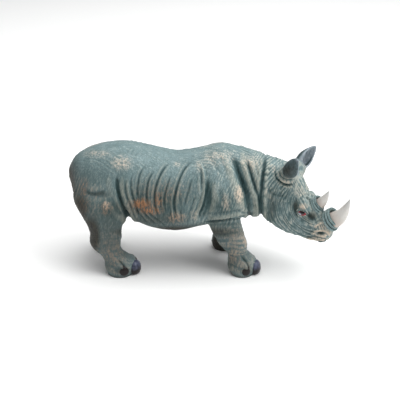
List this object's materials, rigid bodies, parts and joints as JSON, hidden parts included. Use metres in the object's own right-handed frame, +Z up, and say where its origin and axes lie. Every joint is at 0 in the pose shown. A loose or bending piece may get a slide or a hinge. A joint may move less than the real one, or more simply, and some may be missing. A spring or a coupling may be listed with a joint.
{
  "type": "rhinoceros figurine",
  "caption": "Cast resin rhinoceros that stands on its four flat soles, head lowered and turned to its right, with folded hide, cupped ears and horns.",
  "frame": {"origin": "middle of the whole figurine's box seen from above, on the plane of the soles", "axes": "+X the way the body faces, +Y towards the animal's left side, +Z up"},
  "size_m": [0.4502, 0.1442, 0.2146],
  "materials": {
    "painted_resin": "blue-green grey paint rubbed with peach and tan over cast resin"
  },
  "bodies": {
    "root": {"rhinoceros": "painted_resin"}
  },
  "joints": []
}
